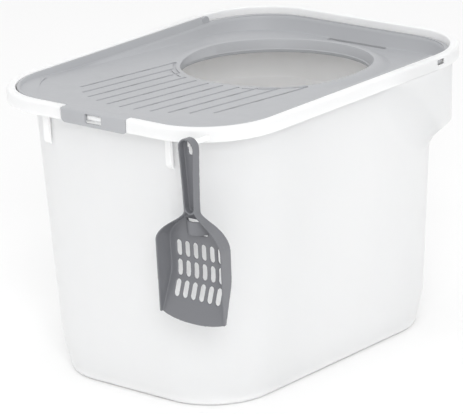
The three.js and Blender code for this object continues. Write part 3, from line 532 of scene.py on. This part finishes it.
def scoop_outline(inset, flare, end_drop):
    """The scoop from the front, z measured down from the top of its handle."""
    top, neck = HANDLE_TOP_WIDTH / 2 - inset, HANDLE_NECK_WIDTH / 2 - inset
    half = PAN_WIDTH / 2 - inset + flare
    end, pan_top = -HANDLE_LENGTH, -(HANDLE_LENGTH + SHOULDER_LENGTH)
    pan_end = pan_top - PAN_LENGTH - end_drop
    points = [(top * math.cos(a), -HANDLE_TOP_WIDTH / 2 + top * math.sin(a))
              for a in np.linspace(0, math.pi, 21)]
    points += [(-neck - (top - neck) * (1 - s) ** 1.5,
                -HANDLE_TOP_WIDTH / 2 + s * (end + HANDLE_TOP_WIDTH / 2))
               for s in np.linspace(0.1, 0.9, 9)]
    points += bezier((-neck, end), (-neck - 2, end - 11), (-half, end - 21), (-half, pan_top))
    points += bezier((-half + 1, pan_end + 6), (-half / 2, pan_end - 4), (half / 2, pan_end - 4),
                     (half - 1, pan_end + 6))
    points += bezier((half, pan_top), (half, end - 21), (neck + 2, end - 11), (neck, end))
    points += [(neck + (top - neck) * (1 - s) ** 1.5,
                -HANDLE_TOP_WIDTH / 2 + s * (end + HANDLE_TOP_WIDTH / 2))
               for s in np.linspace(0.9, 0.1, 9)]
    return points


def scoop_body(inset, near, far, end_drop):
    layers = [np.array([(HOOK_X + x, SCOOP_BACK - depth, SCOOP_TOP + z)
                        for x, z in scoop_outline(inset, PAN_FLARE * depth / PAN_DEPTH, end_drop)])
              for depth in (near, far)]
    end = SCOOP_TOP - HANDLE_LENGTH - SHOULDER_LENGTH - PAN_LENGTH
    slope = RAMP_RISE / RAMP_LENGTH
    back = SCOOP_BACK - near
    bend = [(back - slope * 0.5 * s * s / 14, end + RAMP_LENGTH + 7 - s) for s in np.linspace(0, 14, 7)]
    keep = bend + [(back - RAMP_RISE - slope * 20, end - 20), (SCOOP_BACK - 60, end - 20),
                   (SCOOP_BACK - 60, SCOOP_TOP + 20), (back - HANDLE_SET, SCOOP_TOP + 20)]
    keep += [(back - HANDLE_SET * ramp(s), SCOOP_TOP - HANDLE_LENGTH - SHOULDER_RUN * (1 - s))
             for s in np.linspace(1, 0, 9)]
    return combine(loft("scoop", layers), along_x(keep, 2 * PAN_WIDTH, HOOK_X), "INTERSECT")


def build_scoop():
    body = cut(scoop_body(0, 0, PAN_DEPTH, 0), scoop_body(SCOOP_WALL, SCOOP_WALL, PAN_DEPTH + 1, 12))
    handle_end = SCOOP_TOP - HANDLE_LENGTH
    handle_back = SCOOP_BACK - HANDLE_SET
    near, far = handle_back - HANDLE_DEPTH, SCOOP_BACK - PAN_DEPTH
    run = SHOULDER_LENGTH * 0.9
    front = [(near - 0.4 * (1 - s), SCOOP_TOP + 5 - (HANDLE_LENGTH + 5) * s) for s in (0, 0.5, 1)]
    front += [(near - (near - far) * ramp(s) * 1.001, handle_end - run * s) for s in np.linspace(0.1, 1, 10)]
    front += [(far - 9, handle_end - run), (far - 9, SCOOP_TOP + 5)]
    body = cut(body, along_x(front, 2 * PAN_WIDTH, HOOK_X))
    # the channel of the handle ends in a rounded cup
    cup_outline = rounded(HOOK_X, handle_end + 6, HANDLE_NECK_WIDTH, 18, HANDLE_NECK_WIDTH / 2 - 0.01, arc=10)
    cup_hollow = rounded(HOOK_X, handle_end + 8, HANDLE_NECK_WIDTH - 4.4, 18,
                         HANDLE_NECK_WIDTH / 2 - 2.21, arc=10)
    cup = cut(along_y(cup_outline, near, handle_back),
              along_y(cup_hollow, near - 1, handle_back - SCOOP_WALL))
    cup = cut(cup, block(HOOK_X - 20, HOOK_X + 20, near - 2, SCOOP_BACK + 2, handle_end + 4, handle_end + 30))
    body = add(body, cup)
    body = cut(body, along_y(rounded(HOOK_X, SCOOP_TOP - 6 - 8 + 0.6, 8, 16, 2.5), far - 5, SCOOP_BACK + 1))
    slots = []
    for row in range(3):
        for column in range(6):
            x = HOOK_X + (column - 2.5) * 13
            z = handle_end - SHOULDER_LENGTH - 10 - row * 24.5
            slots.append(along_y(rounded(x, z, 8, 20, 3.99), far - 5, SCOOP_BACK + 1))
    body = cut(body, join(slots))
    window_top = handle_end - 12
    body = cut(body, along_y(rounded(HOOK_X, window_top - 10, 28, 20, 2), SCOOP_BACK - 12, SCOOP_BACK + 1))
    arch = [(18 * s, 12.9 * (1 - s * s) - 0.6) for s in np.linspace(-1, 1, 25)]
    arch += [(15.5 * s, 10.7 * (1 - s * s) - 0.6) for s in np.linspace(1, -1, 25)]
    loop = prism(arch, (window_top - 17, window_top),
                 lambda u, v, w: (HOOK_X + u, SCOOP_BACK - SCOOP_WALL - v, w))
    body = add(body, loop)
    soften(body)
    return finished(body, "scoop_moulding", 50)


def soften(body):
    """Rounds every edge a little, as a moulding's are, by an even fine skin that is then smoothed."""
    skin = body.modifiers.new("skin", "REMESH")
    skin.mode, skin.voxel_size = "VOXEL", 0.62
    ease = body.modifiers.new("ease", "SMOOTH")
    ease.factor, ease.iterations = 0.5, 4
    thin = body.modifiers.new("thin", "DECIMATE")
    thin.ratio = 0.3
    bake(body)


# ---------- plastics ----------
def plastic(name, color, shade, roughness, grain, depth):
    """Moulded polypropylene: an even colour with faint flow marks, a fine grain and scuffs."""
    material = bpy.data.materials.new(name)
    material.use_nodes = True
    nodes, links = material.node_tree.nodes, material.node_tree.links
    shader = nodes["Principled BSDF"]
    place = nodes.new("ShaderNodeTexCoord").outputs["Object"]

    def noise(scale, detail, rough=0.5, distort=0.0, stretch=None):
        node = nodes.new("ShaderNodeTexNoise")
        node.inputs["Scale"].default_value = scale
        node.inputs["Detail"].default_value = detail
        node.inputs["Roughness"].default_value = rough
        node.inputs["Distortion"].default_value = distort
        source = place
        if stretch:
            mapping = nodes.new("ShaderNodeMapping")
            mapping.inputs["Scale"].default_value = stretch
            links.new(place, mapping.inputs["Vector"])
            source = mapping.outputs["Vector"]
        links.new(source, node.inputs["Vector"])
        return node.outputs["Fac"]

    def between(value, stops):
        node = nodes.new("ShaderNodeValToRGB")
        ramp_ = node.color_ramp
        while len(ramp_.elements) < len(stops):
            ramp_.elements.new(0.5)
        for element, (position, tone) in zip(ramp_.elements, stops):
            element.position = position
            element.color = (*tone, 1) if len(tone) == 3 else tone
        links.new(value, node.inputs["Fac"])
        return node.outputs["Color"]

    flow = between(noise(5.0, 5, 0.55, 0.6, (1, 1, 0.45)), ((0.3, shade), (0.52, color), (0.75, color)))
    links.new(flow, shader.inputs["Base Color"])
    low, high = roughness
    scuffs = noise(38.0, 6, 0.62, 0.3, (1, 1, 0.3))
    rough = between(scuffs, ((0.35, (low,) * 3), (0.62, (0.5 * (low + high),) * 3), (0.8, (high,) * 3)))
    links.new(rough, shader.inputs["Roughness"])
    shader.inputs["IOR"].default_value = 1.49
    shader.inputs["Subsurface Weight"].default_value = depth
    shader.inputs["Subsurface Radius"].default_value = (1.0, 0.97, 0.94)
    shader.inputs["Subsurface Scale"].default_value = 0.009
    shader.inputs["Specular IOR Level"].default_value = 0.42
    fine = nodes.new("ShaderNodeBump")
    fine.inputs["Strength"].default_value = grain
    fine.inputs["Distance"].default_value = 0.00012
    links.new(noise(2600.0, 2, 0.5), fine.inputs["Height"])
    wave = nodes.new("ShaderNodeBump")
    wave.inputs["Strength"].default_value = 0.1
    wave.inputs["Distance"].default_value = 0.0008
    links.new(noise(16.0, 2, 0.4), wave.inputs["Height"])
    links.new(wave.outputs["Normal"], fine.inputs["Normal"])
    links.new(fine.outputs["Normal"], shader.inputs["Normal"])
    return material


def dress(piece, body, node, material):
    piece.data.materials.clear()
    piece.data.materials.append(material)
    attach(piece, body)
    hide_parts(node)
    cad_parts[node].data.materials.clear()
    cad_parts[node].data.materials.append(material)


white = plastic("white_polypropylene", (0.93, 0.932, 0.93), (0.915, 0.917, 0.916),
                (0.36, 0.52), 0.25, 0.7)
grey = plastic("grey_polypropylene", (0.43, 0.438, 0.456), (0.415, 0.423, 0.44), (0.42, 0.58), 0.5, 0.0)
scoop_grey = plastic("scoop_polypropylene", (0.18, 0.184, 0.198), (0.165, 0.169, 0.182),
                     (0.2, 0.32), 0.3, 0.0)
dress(build_bin(), "bin", "bin", white)
dress(build_lid(), "lid", "lid", grey)
dress(build_scoop(), "scoop", "scoop", scoop_grey)

# ---------- camera ----------
AZIMUTH, ELEVATION, ROLL = 41.74, 17.70, -2.91
DISTANCE = 4.247
TARGET = Vector((-0.0051, -0.0061, 0.1863))


def camera():
    a, e, r = (math.radians(v) for v in (AZIMUTH, ELEVATION, ROLL))
    back = Vector((math.sin(a) * math.cos(e), -math.cos(a) * math.cos(e), math.sin(e)))
    right = Vector((0, 0, 1)).cross(back).normalized()
    up = back.cross(right)
    right, up = right * math.cos(r) + up * math.sin(r), up * math.cos(r) - right * math.sin(r)
    data = bpy.data.cameras.new("camera")
    data.lens, data.sensor_width = 257.7, 36.0
    data.shift_x, data.shift_y = -0.0113, -0.0078
    data.clip_start, data.clip_end = 0.1, 50
    cam = bpy.data.objects.new("camera", data)
    rows = [[right[i], up[i], back[i], (TARGET + back * DISTANCE)[i]] for i in range(3)]
    cam.matrix_world = Matrix(rows + [[0, 0, 0, 1]])
    bpy.context.scene.collection.objects.link(cam)
    bpy.context.scene.camera = cam


camera()


# ---------- studio ----------
def softbox(name, where, towards, size, power, color=(1, 1, 1)):
    data = bpy.data.lights.new(name, "AREA")
    data.shape, data.size, data.size_y = "RECTANGLE", size[0], size[1]
    data.energy, data.color = power, color
    lamp = bpy.data.objects.new(name, data)
    lamp.location = where
    lamp.rotation_euler = (Vector(towards) - Vector(where)).to_track_quat("-Z", "Y").to_euler()
    bpy.context.scene.collection.objects.link(lamp)


softbox("overhead", (-0.5, 0.1, 2.8), (0, 0, 0.2), (1.8, 1.8), 6)
softbox("key", (1.35, -1.55, 2.3), (0.0, 0.08, 0.25), (0.6, 0.6), 5)
softbox("fill", (2.3, -2.2, 1.75), (0.0, 0.08, 0.25), (0.9, 0.9), 24)

world = bpy.data.worlds.new("studio")
bpy.context.scene.world = world
world.use_nodes = True
world.node_tree.nodes["Background"].inputs["Color"].default_value = (1, 1, 1, 1)
world.node_tree.nodes["Background"].inputs["Strength"].default_value = 0.94
bpy.context.scene.view_settings.view_transform = "Standard"


def floor():
    mesh = bpy.data.meshes.new("floor")
    mesh.from_pydata([(-20, -20, 0), (20, -20, 0), (20, 20, 0), (-20, 20, 0)], [], [(0, 1, 2, 3)])
    material = bpy.data.materials.new("floor")
    material.use_nodes = True
    shader = material.node_tree.nodes["Principled BSDF"]
    shader.inputs["Base Color"].default_value = (0.93, 0.93, 0.93, 1)
    shader.inputs["Roughness"].default_value = 0.9
    mesh.materials.append(material)
    ground = bpy.data.objects.new("floor", mesh)
    bpy.context.scene.collection.objects.link(ground)
    return ground


floor()
